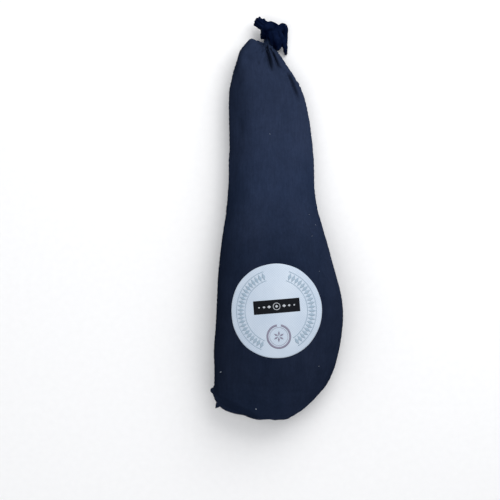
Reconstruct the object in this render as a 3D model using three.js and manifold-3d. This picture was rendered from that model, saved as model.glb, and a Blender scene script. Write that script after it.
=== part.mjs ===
// A cured shoulder of ham, lying on its flat side in a tied cloth bag with a round label.
//
// Millimetres. +Z is up and Z = 0 is the surface that the bag lies on. +Y runs from the thick end to
// the foot, and +X is to the right seen from above with the foot at the top. The group is moved at
// the end so that the origin is under the middle of the whole object.
//
// The ham is the master shape. The bag's body is the ham's own cross-section, grown by the cloth's
// fit and by the slack that it hangs with, so the bag follows any change to the ham.

import * as THREE from "three";
import { mergeVertices } from "three/addons/utils/BufferGeometryUtils.js";
import Module from "manifold-3d";

const wasm = await Module();
wasm.setup();

// ---- Driving dimensions ----

const HAM_LENGTH = 636; // thick end to the toes
const HAM_WIDTH = 194; // across the thick end
const HAM_THICKNESS = 102; // flat side to crown
const TOE_LENGTH = 27; // past the end of the leg
const CLAW_SPLIT = 3; // gap between the two toes

const CLOTH = 1.6; // the bag's wall, with its nap
const FIT = 0.8; // least room between ham and cloth
const THICK_END_SLACK = 6; // spare cloth past the thick end
const TOE_SLACK = 3; // spare cloth past the toes

const GATHERS = 9; // folds that run out from the mouth
const GATHER_DEPTH = 3.3;
const GATHER_LENGTH = 104; // how far down the bag the folds run

const NECK_RADIUS = 6; // the mouth, gathered tight
const NECK_FLARE_RADIUS = 23; // where the gathers open into the bag
const NECK_LENGTH = 43;
const NECK_X = -4; // where the neck leaves the bag's shoulder
const MOUTH_RADIUS = 2.5; // the way left through the gathers and the knot
const KNOT_WIDTH = 36;
const KNOT_LENGTH = 45;
const KNOT_THICKNESS = 34;
const KNOT_FROM_NECK = 8; // the knot sits to the right of the neck
const KNOT_BAND_RADIUS = 7.5;
const KNOT_BAND_SLANT = 0.6; // radians
const TAIL_LENGTH = 32; // the hemmed end of the mouth, past the knot
const TAIL_ROOT_RADIUS = 9.5;
const TAIL_RIM_RADIUS = 7;
const TAIL_CUP_DEPTH = 8;
const TAIL_DIRECTION = new THREE.Vector3(-0.72, 0.68, 0.1);
const EAR_LENGTH = 51; // the loose corner of the mouth, hanging back
const EAR_RADIUS = 7;
const EAR_LEAN = 4; // its point hangs this much further out

const LABEL_DIAMETER = 160; // measured over the curve of the cloth
const LABEL_THICKNESS = 0.8;
const LABEL_GAP = 0.35; // glue line between cloth and label
const LABEL_FROM_THICK_END = 179; // to the label's centre
const LABEL_X = 9; // the label's centre

// ---- Mesh resolution ----

const OUTSIDE = { around: 45, along: 42 }; // a whole number of sides to each gather
const INSIDE = { around: 28, along: 34 };
const HAM = { around: 28, along: 34 };
const ROUND_SIDES = 20;
const LABEL_SIDES = 64;

// ---- The ham's profile ----
// at is a share of HAM_LENGTH. left, right and crown are shares of HAM_WIDTH, and crown is the line of
// the highest points. low, equator and top are shares of HAM_THICKNESS, and equator is where the
// section is widest. dome is how square the upper half is: 2 is an ellipse.

const HAM_STATIONS = [
  { at: 0, left: -0.4, right: 0.33, crown: 0.06, low: 0.03, equator: 0.4, top: 0.8, dome: 1.95 },
  { at: 0.11, left: -0.415, right: 0.47, crown: 0.06, low: 0.024, equator: 0.41, top: 0.91, dome: 1.9 },
  { at: 0.28, left: -0.417, right: 0.583, crown: 0.07, low: 0.022, equator: 0.41, top: 1, dome: 1.85 },
  { at: 0.43, left: -0.395, right: 0.477, crown: 0.04, low: 0.026, equator: 0.39, top: 0.92, dome: 1.85 },
  { at: 0.565, left: -0.326, right: 0.285, crown: -0.02, low: 0.06, equator: 0.38, top: 0.76, dome: 1.9 },
  { at: 0.7, left: -0.28, right: 0.152, crown: -0.065, low: 0.1, equator: 0.37, top: 0.67, dome: 1.9 },
  { at: 0.835, left: -0.264, right: 0.068, crown: -0.095, low: 0.11, equator: 0.345, top: 0.61, dome: 1.95 },
  { at: 0.94, left: -0.264, right: -0.01, crown: -0.135, low: 0.09, equator: 0.31, top: 0.55, dome: 2.2 },
  { at: 1, left: -0.246, right: -0.045, crown: -0.148, low: 0.075, equator: 0.285, top: 0.49, dome: 2.3 },
];

// ---- The bag's slack over the ham ----
// left, right and top are millimetres of spare cloth, equator is a share of HAM_THICKNESS.

const BAG_STATIONS = [
  { at: 0, left: 16, right: 16, top: 1, equator: 0.37, dome: 2.1 },
  { at: 0.09, left: 11.5, right: 14, top: 1, equator: 0.38, dome: 2.1 },
  { at: 0.18, left: 11, right: 11, top: 1, equator: 0.39, dome: 2.1 },
  { at: 0.3, left: 6.5, right: 9, top: 1, equator: 0.4, dome: 2.1 },
  { at: 0.43, left: 5.5, right: 7.5, top: 1, equator: 0.37, dome: 2.1 },
  { at: 0.565, left: 6.5, right: 21.5, top: 1.5, equator: 0.31, dome: 2 },
  { at: 0.7, left: 12, right: 41.5, top: 2, equator: 0.27, dome: 1.9 },
  { at: 0.83, left: 14, right: 45.5, top: 2.5, equator: 0.26, dome: 1.9 },
  { at: 0.89, left: 11.5, right: 41, top: 2.5, equator: 0.265, dome: 2 },
  { at: 0.95, left: 5, right: 24, top: 3.5, equator: 0.28, dome: 2.4 },
  { at: 1, left: 2.5, right: 9, top: 6.5, equator: 0.285, dome: 2.8 },
];

const FOOT_SQUARENESS = 2.3; // of the lower half of every section
const FOOT_OVERREACH = 1.12; // sections reach past their lowest line and are cut flat there
const HAM_END = { left: 66, right: 99, height: 80 }; // rounding lengths of the ham's thick end
const BAG_END = { left: 34, right: 92, height: 70 }; // and of the bag's sewn end
const ANKLE_ROUNDING = 24; // where the leg ends in its toes
const TOE_ROUNDING = 26;
const SHOULDER_ROUNDING = 28; // where the bag closes over the toes

// ---- Profile functions ----

const COLUMNS = ["left", "right", "crown", "low", "equator", "top", "dome"];

function profileOf(stations) {
  const columns = COLUMNS.filter((name) => name in stations[0]);
  const places = stations.map((station) => station.at);
  const values = stations.flatMap((station) => columns.map((name) => station[name]));
  const curve = new THREE.CubicInterpolant(places, values, columns.length);
  return (share) => {
    const found = curve.evaluate(THREE.MathUtils.clamp(share, 0, 1));
    return Object.fromEntries(columns.map((name, i) => [name, found[i]]));
  };
}

const hamProfile = profileOf(HAM_STATIONS);
const bagProfile = profileOf(BAG_STATIONS);

// How far a rounded end has opened, from 0 at its tip to 1 at its full size.
function opened(distance, rounding) {
  const left = 1 - Math.min(Math.max(distance, 0) / rounding, 1);
  return Math.sqrt(1 - left * left);
}

// A section with both of the part's ends rounded off.
function roundedSection(section, fromStart, start, fromEnd, endRounding) {
  const end = opened(fromEnd, endRounding);
  const width = (rounding) => opened(fromStart, rounding) * end;
  const height = width(start.height);
  return {
    crown: section.crown,
    left: section.crown + (section.left - section.crown) * width(start.left),
    right: section.crown + (section.right - section.crown) * width(start.right),
    equator: section.equator,
    low: section.equator + (section.low - section.equator) * height,
    top: section.equator + (section.top - section.equator) * height,
    dome: section.dome,
  };
}

function hamSection(y) {
  const share = hamProfile(y / HAM_LENGTH);
  return {
    left: share.left * HAM_WIDTH,
    right: share.right * HAM_WIDTH,
    crown: share.crown * HAM_WIDTH,
    low: Math.max(share.low * HAM_THICKNESS, CLOTH + FIT),
    equator: share.equator * HAM_THICKNESS,
    top: share.top * HAM_THICKNESS,
    dome: share.dome,
  };
}

const ANKLE_Y = HAM_LENGTH - TOE_LENGTH;

// The ham as if it ended at stop, rounded off over the given length.
function hamBody(stop, rounding) {
  const sectionAt = (y) => roundedSection(hamSection(y), y, HAM_END, stop - y, rounding);
  return solidOf(loft(sectionAt, 0, stop, HAM));
}

const BAG_START = -(CLOTH + FIT + THICK_END_SLACK);
const BAG_STOP = HAM_LENGTH + CLOTH + FIT + TOE_SLACK;

// The bag's section, grown by grow millimetres: 0 is the outer face, and -CLOTH the inner one.
// The gathers stand out of the outer face only, where the folds lie over each other.
function bagSection(y, grow) {
  const ham = hamSection(y);
  const slack = bagProfile(y / HAM_LENGTH);
  const cover = CLOTH + FIT + grow;
  const section = {
    left: ham.left - slack.left - cover,
    right: ham.right + slack.right + cover,
    crown: ham.crown,
    low: -grow,
    equator: slack.equator * HAM_THICKNESS,
    top: ham.top + slack.top + cover,
    dome: slack.dome,
  };
  const fromEnd = BAG_STOP + grow - y;
  const rounded = roundedSection(section, y - BAG_START + grow, BAG_END, fromEnd, SHOULDER_ROUNDING);
  const faded = Math.max(1 - fromEnd / GATHER_LENGTH, 0) * opened(fromEnd, SHOULDER_ROUNDING);
  return { ...rounded, gather: grow < 0 ? 0 : GATHER_DEPTH * faded };
}

// The point of a section at an angle: 0 is its right side, 90 degrees its crown, 270 its foot.
function sectionPoint(section, angle) {
  const across = Math.cos(angle);
  const up = Math.sin(angle);
  const reach = across >= 0 ? section.right - section.crown : section.crown - section.left;
  const power = 2 / (up >= 0 ? section.dome : FOOT_SQUARENESS);
  const fold = (section.gather ?? 0) * (0.5 + Math.cos(GATHERS * angle) / 2);
  const x = section.crown + Math.sign(across) * reach * Math.abs(across) ** power + fold * across;
  const rise = Math.abs(up) ** power;
  if (up >= 0) return { x, z: section.equator + (section.top - section.equator) * rise + fold * up };
  const drop = (section.equator - section.low) * FOOT_OVERREACH * rise;
  return { x, z: Math.max(section.low, section.equator - drop) };
}

// A closed skin through sections from start to stop, made by moving a sphere's vertices.
function loft(sectionAt, start, stop, sides) {
  const geometry = new THREE.SphereGeometry(1, sides.around, sides.along);
  const position = geometry.getAttribute("position");
  const uv = geometry.getAttribute("uv");
  for (let i = 0; i < position.count; i++) {
    const share = (1 - Math.cos(Math.PI * uv.getY(i))) / 2;
    const y = THREE.MathUtils.lerp(start, stop, share);
    const point = sectionPoint(sectionAt(y), Math.PI - 2 * Math.PI * uv.getX(i));
    position.setXYZ(i, point.x, y, point.z);
  }
  return geometry;
}

// ---- Solids ----

function solidOf(geometry) {
  const bare = geometry.clone();
  bare.deleteAttribute("normal");
  bare.deleteAttribute("uv");
  const merged = mergeVertices(bare, 1e-3);
  return new wasm.Manifold(new wasm.Mesh({
    numProp: 3,
    vertProperties: new Float32Array(merged.getAttribute("position").array),
    triVerts: new Uint32Array(merged.index.array),
  }));
}

function geometryOf(solid) {
  const mesh = solid.getMesh();
  const geometry = new THREE.BufferGeometry();
  geometry.setAttribute("position", new THREE.BufferAttribute(mesh.vertProperties, 3));
  geometry.setIndex(new THREE.BufferAttribute(mesh.triVerts, 1));
  geometry.computeVertexNormals();
  return geometry;
}

// Moves a geometry made along +Y so that it starts at from and points at to.
function aimed(geometry, from, to) {
  const direction = new THREE.Vector3().subVectors(to, from).normalize();
  const turn = new THREE.Quaternion().setFromUnitVectors(new THREE.Vector3(0, 1, 0), direction);
  return geometry.applyQuaternion(turn).translate(from.x, from.y, from.z);
}

// ---- The ham ----

// One toe: a blunt hoof, wider than it is thick.
function clawGeometry(bottom, thickness) {
  const ankle = hamSection(ANKLE_Y);
  const toe = hamSection(HAM_LENGTH);
  const bevel = thickness * 0.38;
  const shape = new THREE.Shape();
  shape.moveTo(ankle.left + bevel, ANKLE_Y - ANKLE_ROUNDING);
  shape.lineTo(ankle.right - 2 * bevel, ANKLE_Y - ANKLE_ROUNDING);
  shape.quadraticCurveTo(toe.right, ANKLE_Y + bevel, toe.crown + bevel, HAM_LENGTH - 1.2 * bevel);
  shape.quadraticCurveTo(toe.crown, HAM_LENGTH - bevel, toe.crown - bevel / 2, HAM_LENGTH - 1.5 * bevel);
  shape.lineTo(toe.left + bevel, ANKLE_Y + bevel / 2);
  const geometry = new THREE.ExtrudeGeometry(shape, {
    depth: thickness - 2 * bevel,
    bevelThickness: bevel,
    bevelSize: bevel * 0.9,
    bevelSegments: 3,
    curveSegments: 5,
    steps: 1,
  });
  return geometry.translate(0, 0, bottom + bevel);
}

function hamGeometry() {
  const foot = hamSection(HAM_LENGTH);
  const thickness = (foot.top - foot.low - CLAW_SPLIT) / 2;
  const lowerClaw = solidOf(clawGeometry(foot.low, thickness));
  const upperClaw = solidOf(clawGeometry(foot.top - thickness, thickness));
  const claws = lowerClaw.add(upperClaw).intersect(hamBody(HAM_LENGTH, TOE_ROUNDING));
  return geometryOf(hamBody(ANKLE_Y, ANKLE_ROUNDING).add(claws));
}

// ---- The bag ----

function bagBody(grow) {
  const sides = grow < 0 ? INSIDE : OUTSIDE;
  return solidOf(loft((y) => bagSection(y, grow), BAG_START - grow, BAG_STOP + grow, sides));
}

// The knot's own places, all set from where the neck leaves the bag.
const KNOT_Z = KNOT_THICKNESS / 2;
const KNOT_CENTRE = new THREE.Vector3(NECK_X + KNOT_FROM_NECK, BAG_STOP, KNOT_Z);
const NECK_TO = new THREE.Vector3(NECK_X, BAG_STOP + KNOT_LENGTH / 4, KNOT_Z);
const NECK_FROM = new THREE.Vector3(NECK_X, NECK_TO.y - NECK_LENGTH, NECK_FLARE_RADIUS + 1);
const TAIL_FROM = new THREE.Vector3(NECK_X, KNOT_CENTRE.y + KNOT_LENGTH / 5, KNOT_Z);
const TAIL_TO = TAIL_DIRECTION.clone().setLength(TAIL_LENGTH).add(TAIL_FROM);
const EAR_X = KNOT_CENTRE.x + KNOT_WIDTH / 2;
const EAR_FROM = new THREE.Vector3(EAR_X, KNOT_CENTRE.y + KNOT_LENGTH / 2, KNOT_Z);
const EAR_TO = new THREE.Vector3(EAR_X + EAR_LEAN, EAR_FROM.y - EAR_LENGTH, EAR_RADIUS);

function knotBody() {
  const geometry = new THREE.SphereGeometry(1, ROUND_SIDES, ROUND_SIDES / 2);
  geometry.scale(KNOT_WIDTH / 2, KNOT_LENGTH / 2, KNOT_THICKNESS / 2);
  return solidOf(geometry.translate(KNOT_CENTRE.x, KNOT_CENTRE.y, KNOT_CENTRE.z));
}

// The turn of cloth that holds the knot, passed slantwise round its body.
function knotBand() {
  const ring = KNOT_WIDTH / 2 - KNOT_BAND_RADIUS;
  const geometry = new THREE.TorusGeometry(ring, KNOT_BAND_RADIUS, ROUND_SIDES / 2, ROUND_SIDES);
  geometry.rotateX(Math.PI / 2).scale(1.08, 1, KNOT_THICKNESS / KNOT_WIDTH).rotateZ(-KNOT_BAND_SLANT);
  return solidOf(geometry.translate(KNOT_CENTRE.x, KNOT_CENTRE.y + KNOT_LENGTH / 8, KNOT_CENTRE.z));
}

// A turned solid from [radius, height] pairs, stood between two places.
function turned(pairs, from, to) {
  const points = pairs.map(([radius, height]) => new THREE.Vector2(radius, height));
  return solidOf(aimed(new THREE.LatheGeometry(points, ROUND_SIDES), from, to));
}

// The gathers close from the bag's shoulder to the tied mouth.
function neck() {
  const length = NECK_FROM.distanceTo(NECK_TO);
  return turned([
    [0, 0],
    [NECK_FLARE_RADIUS, 0],
    [THREE.MathUtils.lerp(NECK_RADIUS, NECK_FLARE_RADIUS, 0.4), length * 0.45],
    [NECK_RADIUS, length * 0.75],
    [NECK_RADIUS, length],
    [0, length],
  ], NECK_FROM, NECK_TO);
}

// The tail narrows to its hem, and its end is an open cup.
function tail() {
  return turned([
    [0, 0],
    [TAIL_ROOT_RADIUS, 0],
    [TAIL_ROOT_RADIUS, TAIL_LENGTH * 0.45],
    [TAIL_RIM_RADIUS, TAIL_LENGTH * 0.75],
    [TAIL_RIM_RADIUS, TAIL_LENGTH],
    [TAIL_RIM_RADIUS - CLOTH, TAIL_LENGTH],
    [MOUTH_RADIUS, TAIL_LENGTH - TAIL_CUP_DEPTH],
    [0, TAIL_LENGTH - TAIL_CUP_DEPTH],
  ], TAIL_FROM, TAIL_TO);
}

// The ear is a drop: round where it leaves the knot, and pointed at the corner of the cloth.
function ear() {
  const shares = [[0, 0], [0.75, 0.05], [1, 0.17], [0.85, 0.4], [0.5, 0.75], [0.28, 0.95], [0, 1]];
  const pairs = shares.map(([radius, height]) => [radius * EAR_RADIUS, height * EAR_LENGTH]);
  return turned(pairs, EAR_FROM, EAR_TO);
}

// The way out of the bag, through the neck and the knot to the tail's open end.
function mouth() {
  const inside = bagSection(NECK_FROM.y, -CLOTH);
  const path = new THREE.CatmullRomCurve3([
    new THREE.Vector3(inside.crown, NECK_FROM.y - NECK_LENGTH, inside.equator),
    NECK_FROM,
    new THREE.Vector3(NECK_X, BAG_STOP, KNOT_Z),
    TAIL_FROM,
    TAIL_TO,
  ]);
  const circle = new THREE.Shape().absarc(0, 0, MOUTH_RADIUS, 0, 2 * Math.PI);
  return solidOf(new THREE.ExtrudeGeometry(circle, { extrudePath: path, steps: 14, curveSegments: 4 }));
}

function bagGeometry() {
  const knot = knotBody().add(knotBand()).add(tail()).add(ear());
  const outside = bagBody(0).add(neck()).add(knot);
  return geometryOf(outside.subtract(bagBody(-CLOTH)).subtract(mouth()));
}

// ---- The label ----

// The label's edge seen from above. Its width is laid along the curve of the cloth.
function labelOutline() {
  const section = bagSection(LABEL_FROM_THICK_END, LABEL_GAP);
  const heightAt = (x) => {
    const reach = x >= section.crown ? section.right - section.crown : section.crown - section.left;
    const share = Math.min(Math.abs(x - section.crown) / reach, 1);
    return (section.top - section.equator) * (1 - share ** section.dome) ** (1 / section.dome);
  };
  const stepAcross = 0.5;
  const xAtArc = (arc) => {
    let [x, travelled] = [LABEL_X, 0];
    while (travelled < Math.abs(arc)) {
      const next = x + Math.sign(arc) * stepAcross;
      travelled += Math.hypot(stepAcross, heightAt(next) - heightAt(x));
      x = next;
    }
    return x;
  };
  const points = [];
  for (let i = 0; i < LABEL_SIDES; i++) {
    const angle = (2 * Math.PI * i) / LABEL_SIDES;
    const across = (LABEL_DIAMETER / 2) * Math.cos(angle);
    const along = (LABEL_DIAMETER / 2) * Math.sin(angle);
    points.push(new THREE.Vector2(xAtArc(across), LABEL_FROM_THICK_END + along));
  }
  return new THREE.Shape(points);
}

function labelGeometry() {
  const equator = bagSection(LABEL_FROM_THICK_END, 0).equator;
  const cutter = new THREE.ExtrudeGeometry(labelOutline(), { depth: HAM_THICKNESS, bevelEnabled: false });
  const outside = bagBody(LABEL_GAP + LABEL_THICKNESS).intersect(solidOf(cutter.translate(0, 0, equator)));
  return geometryOf(outside.subtract(bagBody(LABEL_GAP)));
}

// ---- Materials and assembly ----

const HAM_RIND = new THREE.MeshStandardMaterial({ color: 0xb9824a, roughness: 0.5, metalness: 0 });
const BLACK_CLOTH = new THREE.MeshStandardMaterial({ color: 0x1b2434, roughness: 0.9, metalness: 0 });
const WHITE_PRINT = new THREE.MeshStandardMaterial({ color: 0xdfe6ee, roughness: 0.7, metalness: 0 });

const baggedHam = new THREE.Group();

function addPiece(name, geometry, material) {
  const mesh = new THREE.Mesh(geometry, material);
  mesh.name = name;
  baggedHam.add(mesh);
}

addPiece("ham", hamGeometry(), HAM_RIND);
addPiece("cloth_bag", bagGeometry(), BLACK_CLOTH);
addPiece("round_label", labelGeometry(), WHITE_PRINT);

const extent = new THREE.Box3().setFromObject(baggedHam);
const middle = extent.getCenter(new THREE.Vector3());
baggedHam.position.set(-middle.x, -middle.y, 0);

export default baggedHam;
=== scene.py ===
"""A cured shoulder of ham in a tied cloth bag with a round printed label, laid on a pale floor.

Metres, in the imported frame: +Y runs from the bag's sewn end to its knot, and Z = 0 is the floor.
The bag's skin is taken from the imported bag, pulled tight over the toes to the tied neck and relaxed
by a cloth simulation, then folded, pleated and creased.
"""

import math

import bmesh
import bpy
import numpy as np
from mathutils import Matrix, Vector, noise
from mathutils.bvhtree import BVHTree


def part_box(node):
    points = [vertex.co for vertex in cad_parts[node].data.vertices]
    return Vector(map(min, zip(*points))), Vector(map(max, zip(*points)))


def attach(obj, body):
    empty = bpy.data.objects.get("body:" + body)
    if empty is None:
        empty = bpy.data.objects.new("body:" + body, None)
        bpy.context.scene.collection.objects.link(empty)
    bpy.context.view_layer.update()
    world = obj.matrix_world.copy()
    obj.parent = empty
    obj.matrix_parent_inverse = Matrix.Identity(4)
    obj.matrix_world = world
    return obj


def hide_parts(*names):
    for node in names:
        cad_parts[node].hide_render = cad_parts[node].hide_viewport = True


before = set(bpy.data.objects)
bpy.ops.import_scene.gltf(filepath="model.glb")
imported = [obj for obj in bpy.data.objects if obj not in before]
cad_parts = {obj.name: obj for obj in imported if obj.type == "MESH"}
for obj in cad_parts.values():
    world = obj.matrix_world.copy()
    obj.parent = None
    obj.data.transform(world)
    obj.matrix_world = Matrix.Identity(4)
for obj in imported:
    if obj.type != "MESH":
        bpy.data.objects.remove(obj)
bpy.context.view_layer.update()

MM = 0.001
BAG_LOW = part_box("cloth_bag")[0]
HAM_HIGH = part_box("ham")[1]
LABEL_LOW, LABEL_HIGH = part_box("round_label")

# ---- Sizes ----

HAM_VOXEL = 0.0032
FOOT = HAM_HIGH.y - 0.04  # where the foot starts
FOOT_STRETCH = 0.11
FOOT_SHIFT = 0.0035  # to the left
SHANK_SLIMMING = 0.006
DENT_WIDTH = 0.011  # of the ham's dents under the creases

AROUND = 256  # columns of the bag's skin; column 0 is its left seam and AROUND / 2 its right one
CAP_ROWS = 56  # rows over the sewn end
BODY_ROWS = 118
CAP_LENGTH = 0.110
SHOULDER_LENGTH = 0.072  # how far before the toes' tips the cloth starts to close
SHOULDER_STRIDE = 3  # the closing cloth is relaxed on every third row and second column
SHOULDER_ROWS = 22
TIGHTENING_TURNS = 300

TIE = Vector((-0.0094, HAM_HIGH.y + 0.0086, 0.017))  # the middle of the knot
NECK = TIE + Vector((-0.0081, -0.0085, -0.0005))  # where the gathers meet
NECK_RADIUS = 0.0054
CLOTH_THICKNESS = 0.0009
HAM_CLEARANCE = 0.0022

# Creases in the top of the bag, in millimetres from the neck: start, end, depth, half width, and
# how far the cloth beside the crease rises.
CREASES = (
    ((-3.0, -6.5), (4.5, -50.0), 7.0, 2.3, 1.6),
    ((7.0, -16.0), (20.0, -50.0), 5.2, 2.1, 1.4),
    ((3.0, -10.0), (7.0, -24.0), 2.4, 1.4, 0.7),
    ((19.0, -42.0), (36.0, -62.0), 2.2, 2.4, 0.9),
    ((34.0, -53.0), (52.0, -102.0), 6.2, 2.5, 2.3),
    ((-2.0, -4.5), (-20.0, -1.0), 5.0, 3.2, 0.6),
    ((-14.0, -16.0), (-22.0, -52.0), 1.3, 3.2, 0.4),
    ((-5.0, -30.0), (-3.0, -78.0), 1.0, 3.6, 0.4),
    ((14.0, -50.0), (30.0, -112.0), 1.2, 4.0, 0.5),
)
# The outline of the closing cloth seen from above, in millimetres from the neck.
LEFT_EDGE = (
    (-47.5, -12.0), (-50.5, -21.5), (-53.8, -30.5), (-59.0, -50.5), (-63.5, -71.0), (-65.5, -82.0),
    (-66.6, -105.0), (-67.0, -140.0), (-66.0, -185.0),
)
RIGHT_EDGE = ((10.5, -9.0), (17.5, -16.5), (27.0, -30.5), (39.0, -50.5), (52.5, -71.0), (59.2, -91.0))
TOP_EDGE = (
    (-47.5, -12.0), (-43.0, -6.5), (-37.5, -1.0), (-31.0, 5.8), (-27.0, 5.6), (-18.0, 3.2), (-8.0, 1.0),
)
EDGE_BLEND = 0.038  # how far in from an edge the skin moves with it
TOP_EDGE_BLEND = 0.016
FLANK_BLEND = 0.045
GATHERS = 17  # soft pleats all round the neck
GATHER_REACH = 0.075

SIMULATED_FRAMES = 22
FARTHEST_MOVE = 0.007  # of any point of the skin in the simulation
SAG_KEPT = 0.2  # the share of the simulated cloth's broad sag that is kept, beside all its wrinkles

KNOT_VOXEL = 0.0008

LABEL_CENTRE = (LABEL_LOW + LABEL_HIGH) / 2
LABEL_RADIUS = 0.985 * (LABEL_HIGH.y - LABEL_LOW.y) / 2
LABEL_LIFT = 0.00060  # the label's face above the bag
PRINT_LIFT = 0.00072
BAR_LIFT = 0.00074
MARK_LIFT = 0.00092
INK_THICKNESS = 0.0001


# ---- Mesh helpers ----


def smoothstep(low, high, x):
    t = np.clip((x - low) / (high - low), 0.0, 1.0)
    return t * t * (3 - 2 * t)


def square(reach):
    return [(-reach, -reach, 0), (reach, -reach, 0), (reach, reach, 0), (-reach, reach, 0)]


def polar(centre, radius, angle):
    return centre[0] + radius * math.cos(angle), centre[1] + radius * math.sin(angle)


def placed(name, mesh):
    """A new smooth-shaded object with this mesh."""
    mesh.polygons.foreach_set("use_smooth", [True] * len(mesh.polygons))
    piece = bpy.data.objects.new(name, mesh)
    bpy.context.scene.collection.objects.link(piece)
    return piece


def new_object(name, vertices, faces):
    mesh = bpy.data.meshes.new(name)
    mesh.from_pydata([tuple(v) for v in vertices], [], [tuple(f) for f in faces])
    mesh.update()
    return placed(name, mesh)


def points_of(piece, kind="co"):
    flat = np.empty(len(piece.data.vertices) * 3, np.float32)
    piece.data.vertices.foreach_get(kind, flat)
    return flat.reshape(-1, 3).astype(float)


def set_points(piece, points):
    piece.data.vertices.foreach_set("co", np.asarray(points, np.float32).ravel())
    piece.data.update()


def normals_of(piece):
    return points_of(piece, "normal")


def apply_modifiers(piece):
    graph = bpy.context.evaluated_depsgraph_get()
    mesh = bpy.data.meshes.new_from_object(piece.evaluated_get(graph))
    old = piece.data
    piece.modifiers.clear()
    piece.data = mesh
    mesh.name = old.name
    bpy.data.meshes.remove(old)
    mesh.polygons.foreach_set("use_smooth", [True] * len(mesh.polygons))
    return piece


def remeshed(piece, voxel_size, smoothing):
    """Replaces a piece's mesh by an even, smoothed one."""
    remesh = piece.modifiers.new("remesh", "REMESH")
    remesh.mode = "VOXEL"
    remesh.voxel_size = voxel_size
    piece.modifiers.new("smooth", "SMOOTH").iterations = smoothing
    apply_modifiers(piece)


def thickened(piece, thickness):
    """Gives an open mesh a thickness inwards."""
    shell = piece.modifiers.new("shell", "SOLIDIFY")
    shell.thickness = thickness
    shell.offset = -1
    return apply_modifiers(piece)


def tree_of(piece):
    return BVHTree.FromObject(piece, bpy.context.evaluated_depsgraph_get())


def ring_faces(rings, sides, first=0, outward=True):
    """Quads that join each ring of points to the next."""
    faces = []
    for r in range(rings - 1):
        for c in range(sides):
            a, b = first + r * sides + c, first + r * sides + (c + 1) % sides
            faces.append((a, a + sides, b + sides, b) if outward else (a, b, b + sides, a + sides))
    return faces


def between(before, first, second, after, t):
    """The point a share t of the way from first to second, on a smooth curve through all four."""
    bend = 2 * before - 5 * first + 4 * second - after
    twist = 3 * first - before - 3 * second + after
    return 0.5 * (2 * first + (second - before) * t + bend * t**2 + twist * t**3)


def value_noise(points, scale, seed):
    """Smooth noise from -1 to 1, one value a point. scale is the size of its features, in metres."""
    shift = Vector((seed * 7.13, seed * 3.71, seed * 5.39))
    return np.array([noise.noise(Vector(p) / scale + shift) for p in points])


# ---- The ham inside ----


def build_ham():
    """The whole shoulder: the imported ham's form, lumpy with muscle, with a trotter of two claws."""
    ham = placed("cured_ham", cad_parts["ham"].data.copy())
    remeshed(ham, HAM_VOXEL, 6)
    points = points_of(ham)
    normals = normals_of(ham)
    lumps = 0.9 * value_noise(points, 0.07, 1) + 0.35 * value_noise(points, 0.022, 2)
    wrinkles = 0.5 - np.abs(value_noise(points * (1, 0.35, 1), 0.006, 3))
    on_leg = smoothstep(0.05, 0.2, points[:, 1])
    move = -1.0 + lumps + (0.25 + 0.35 * on_leg) * wrinkles
    points = points + normals * (move * MM)[:, None]
    points[:, 1] += FOOT_STRETCH * np.maximum(points[:, 1] - FOOT, 0)
    points[:, 0] -= FOOT_SHIFT * smoothstep(FOOT, FOOT + 0.03, points[:, 1])
    shank = np.exp(-(((points[:, 1] - FOOT + 0.035) / 0.035) ** 2))
    points[:, 0] -= SHANK_SLIMMING * shank * smoothstep(-0.02, 0.03, points[:, 0])
    for start, end, depth, _, _ in CREASES:
        begin, finish = np.array(NECK)[:2] + np.array((start, end)) * MM
        distance, share = distance_to(points, begin, finish)
        near = np.exp(-((distance / DENT_WIDTH) ** 2)) * smoothstep(-0.3, 0.1, share)
        near *= 1 - smoothstep(FOOT - 0.010, FOOT, points[:, 1])
        points[:, 2] -= depth * MM * near * smoothstep(0.0, 0.7, normals[:, 2])
    set_points(ham, points)
    return ham


# ---- The bag's skin ----


def outline_at(tree, y, sides=240):
    """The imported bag's outer section at y, as points round it."""
    reach = 0.3
    heights = np.linspace(0.012, 0.06, 5)
    lefts = [tree.ray_cast(Vector((-reach, y, z)), Vector((1, 0, 0)))[0] for z in heights]
    rights = [tree.ray_cast(Vector((reach, y, z)), Vector((-1, 0, 0)))[0] for z in heights]
    lefts = [p.x for p in lefts if p]
    rights = [p.x for p in rights if p]
    if not lefts or not rights:
        return None
    middle = (min(lefts) + max(rights)) / 2
    top = tree.ray_cast(Vector((middle, y, reach)), Vector((0, 0, -1)))[0]
    low = tree.ray_cast(Vector((middle, y, -reach)), Vector((0, 0, 1)))[0]
    if not top or not low:
        return None
    centre = Vector((middle, y, (top.z + low.z) / 2))
    found = []
    for i in range(sides):
        angle = math.pi - 2 * math.pi * i / sides
        out = Vector((math.cos(angle), 0, math.sin(angle)))
        hit = tree.ray_cast(centre + out * reach, -out)[0]
        if hit:
            found.append((hit.x, hit.z))
    return np.array(found)


def evenly(line, count):
    """count points at equal steps along a line of points, the last end left out."""
    steps = np.hypot(*np.diff(line, axis=0).T)
    travelled = np.concatenate([[0], np.cumsum(steps)])
    wanted = np.linspace(0, travelled[-1], count + 1)[:-1]
    return np.stack([np.interp(wanted, travelled, line[:, k]) for k in (0, 1)], axis=1)


def ring_at(tree, y):
    """One ring of the skin: half its points go over the top from the left edge to the right one."""
    line = outline_at(tree, y)
    left, right = np.argmin(line[:, 0]), np.argmax(line[:, 0])
    line = np.roll(line, -left, axis=0)
    right = (right - left) % len(line)
    over = evenly(line[: right + 1], AROUND // 2)
    under = evenly(np.vstack([line[right:], line[:1]]), AROUND // 2)
    ring = np.vstack([over, under])
    return np.column_stack([ring[:, 0], np.full(AROUND, y), ring[:, 1]])


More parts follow.
